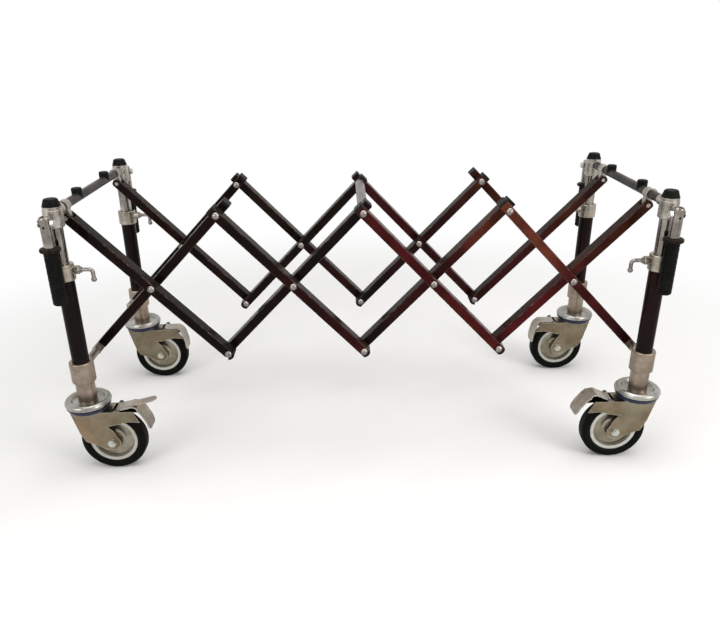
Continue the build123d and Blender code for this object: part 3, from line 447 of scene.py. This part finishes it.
def grip_material():
    """Black grip whose hand flange is browner."""
    g, body, gloss, grain = rubber("grip_rubber", (0.004, 0.004, 0.004),
                                   (0.009, 0.0085, 0.008), (0.055, 0.048, 0.042), 0.18)
    speckle = g.ramp(g.noise(120, 3), 0.3, 0.7)
    brown = g.mix(speckle, (0.008, 0.006, 0.005), (0.020, 0.013, 0.010))
    ribs = g.math("SINE", g.math("MULTIPLY", g.z, GRIP_RIBS))
    return g.finish(g.mix(g.past(g.z, GRIP_FLANGE_Z), body, brown), gloss, grain,
                    (ribs, 0.10, 0.0002))


def tyre_material():
    """Tyre with moulded bands on the wall and a scuffed tread."""
    g, body, gloss, grain = rubber("tyre_rubber", (0.0022, 0.0026, 0.0016),
                                   (0.0046, 0.0050, 0.0032), (0.060, 0.052, 0.040), 0.18)
    radius = g.wheel_radius()
    scuff = g.both(g.ramp(radius, *TREAD), g.ramp(g.noise(160, 5, 0.75), 0.4, 0.7, 0.05, 0.45))
    bands = g.either(*(g.both(g.ramp(radius, *band[:2]), g.ramp(radius, *band[2:]))
                       for band in TYRE_BANDS))
    return g.finish(g.mix(scuff, body, (0.042, 0.036, 0.028)),
                    g.math("ADD", gloss, g.math("MULTIPLY", scuff, 0.2)),
                    grain, (bands, 0.35, 0.0004))


def wear(node, material):
    """Gives one CAD node its finished material."""
    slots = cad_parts[node].material_slots
    if not slots:
        raise SystemExit(f"{node} has no material slot")
    for slot in slots:
        slot.link = "OBJECT"
        slot.material = material


leg_paint = leg_material()
end_rail_paint = rail_material("end_rail_paint", (0.020, 0.016, 0.0150), (0.046, 0.037, 0.034))
cross_rail_paint = rail_material("cross_rail_paint", (0.105, 0.085, 0.080),
                                 (0.175, 0.145, 0.137))
cast = cast_material()
socket_metal = turned_material("socket_metal", (0.24, 0.19, 0.145), (0.37, 0.305, 0.25), 0.30)
collar_metal = turned_material("collar_metal", (0.28, 0.245, 0.20), (0.46, 0.415, 0.355), 0.24)
polished = polished_material()
bright = bright_material()
fork_zinc = zinc_material("fork_zinc", (0.155, 0.120, 0.075), (0.255, 0.205, 0.138), fork=True)
pedal_zinc = zinc_material("pedal_zinc", (0.22, 0.190, 0.158), (0.42, 0.375, 0.325))
raceway_zinc = zinc_material("raceway_zinc", (0.27, 0.265, 0.240), (0.47, 0.465, 0.435))
rim_metal = rim_material()
pad_rubber = pad_material()
grip_rubber = grip_material()
tyre_rubber = tyre_material()
seal_plastic = seal_material()

for place in ("left", "right"):
    for kind, material in (
        ("leg_tubes", leg_paint),
        ("leg_sockets", socket_metal),
        ("lock_collars", collar_metal),
        ("caster_raceways", raceway_zinc),
        ("dust_seals", seal_plastic),
        ("inner_tubes", polished),
        ("leg_heads", cast),
        ("end_rail", end_rail_paint),
        ("rubber_pads", pad_rubber),
    ):
        wear(f"{kind}_{place}", material)
for index in range(1, 5):
    for kind in ("rising", "falling"):
        wear(f"{kind}_bars_{index}", bar_material(kind, index))
    wear(f"rising_fittings_{index}", bright)
wear("falling_fittings_4", bright)
wear("cross_rail", cross_rail_paint)
for corner in ("near_left", "near_right", "far_left", "far_right"):
    for kind, material in (
        ("caster_fork", fork_zinc),
        ("wheel_rim", rim_metal),
        ("wheel_tyre", tyre_rubber),
        ("brake_pedal", pedal_zinc),
        ("lock_lever", bright),
        ("handle_tube", polished),
        ("handle_grip", grip_rubber),
    ):
        wear(f"{kind}_{corner}", material)


def make_floor():
    """Pale near the truck, where it takes the shadows, and plain white further out."""
    reach = FLOOR_REACH
    corners = [(-reach, -reach, 0), (reach, -reach, 0), (reach, reach, 0), (-reach, reach, 0)]
    mesh = bpy.data.meshes.new("floor")
    mesh.from_pydata(corners, [], [(0, 1, 2, 3)])
    floor = bpy.data.objects.new("floor", mesh)
    bpy.context.scene.collection.objects.link(floor)
    g = Graph("pale_floor", Roughness=0.9, Specular_IOR_Level=0.1)
    tone = g.mix(g.ramp(g.noise(3, 3), 0.3, 0.7), (0.925, 0.925, 0.92), (0.94, 0.94, 0.935))
    g.feed(g.shader.inputs["Base Color"], tone)
    glow = g.add("ShaderNodeEmission")
    glow.inputs["Strength"].default_value = 1.0
    share = g.both(g.shown_white(), g.ramp(g.length(g.x, g.y), *FLOOR_FADE))
    blend = g.add("ShaderNodeMixShader")
    g.feed_all(blend.inputs, (share, g.shader.outputs["BSDF"], glow.outputs[0]))
    g.feed(g.output.inputs["Surface"], blend.outputs[0])
    floor.data.materials.append(g.material)


def make_world():
    """White where it is seen or mirrored; as a light it is brighter above and at both ends."""
    world = bpy.data.worlds.new("studio")
    bpy.context.scene.world = world
    w = Tree(world)
    x, _, z = w.split(w.add("ShaderNodeTexCoord").outputs["Generated"])
    sides = w.ramp(w.math("ABSOLUTE", x), *SKY_BY_SIDE)
    sky = w.add("ShaderNodeBackground")
    w.feed(sky.inputs["Color"], SKY_COLOUR)
    w.feed(sky.inputs["Strength"], w.math("MULTIPLY", w.ramp(z, *SKY_BY_HEIGHT), sides))
    white = w.add("ShaderNodeBackground")
    w.feed(white.inputs["Color"], (1, 1, 1))
    mix = w.add("ShaderNodeMixShader")
    w.feed_all(mix.inputs, (w.shown_white(), sky.outputs[0], white.outputs[0]))
    w.feed(w.add("ShaderNodeOutputWorld").inputs["Surface"], mix.outputs[0])


def make_lamp(name, place, aim, width, length, power, colour=(1, 1, 1)):
    data = bpy.data.lights.new(name, "AREA")
    data.shape = "RECTANGLE"
    data.size, data.size_y = width, length
    data.energy = power
    data.color = colour
    lamp = bpy.data.objects.new(name, data)
    lamp.location = place
    lamp.rotation_euler = (Vector(aim) - Vector(place)).to_track_quat("-Z", "Y").to_euler()
    bpy.context.scene.collection.objects.link(lamp)


def make_camera():
    """The photograph's own place, fitted to the pivots and the wheels."""
    yaw, pitch, roll = CAMERA_YAW, CAMERA_PITCH, CAMERA_ROLL
    right = Vector((math.cos(yaw), math.sin(yaw), 0))
    ahead = Vector((-math.sin(yaw) * math.cos(pitch), math.cos(yaw) * math.cos(pitch),
                    -math.sin(pitch)))
    up = right.cross(ahead)
    right, up = (
        right * math.cos(roll) + up * math.sin(roll),
        up * math.cos(roll) - right * math.sin(roll),
    )
    data = bpy.data.cameras.new("camera")
    data.sensor_fit = "HORIZONTAL"
    data.sensor_width = CAMERA_SENSOR
    data.lens = CAMERA_LENS
    data.clip_start, data.clip_end = 0.05, 200.0
    camera = bpy.data.objects.new("camera", data)
    turned = Matrix((right, up, -ahead)).transposed().to_4x4()
    camera.matrix_world = Matrix.Translation(CAMERA_PLACE) @ turned
    bpy.context.scene.collection.objects.link(camera)
    bpy.context.scene.camera = camera


make_floor()
make_world()
make_lamp("overhead", (0.1, -0.2, 2.6), (0, 0, 0.3), 2.6, 1.8, 40)
make_lamp("right_window", (2.3, -1.7, 1.7), (0.3, 0, 0.35), 1.2, 1.8, 28, (1.0, 0.97, 0.93))
make_lamp("left_front", (-1.9, -2.3, 1.5), (-0.3, 0, 0.3), 0.8, 1.6, 12)
make_lamp("left_strip", (-1.9, -1.5, 1.1), (-0.5, -0.2, 0.45), 0.16, 1.7, 5, STRIP_COLOUR)
make_lamp("right_strip", (1.7, -1.9, 1.1), (0.5, -0.2, 0.45), 0.16, 1.7, 5, STRIP_COLOUR)
make_camera()
bpy.context.scene.view_settings.view_transform = "Standard"
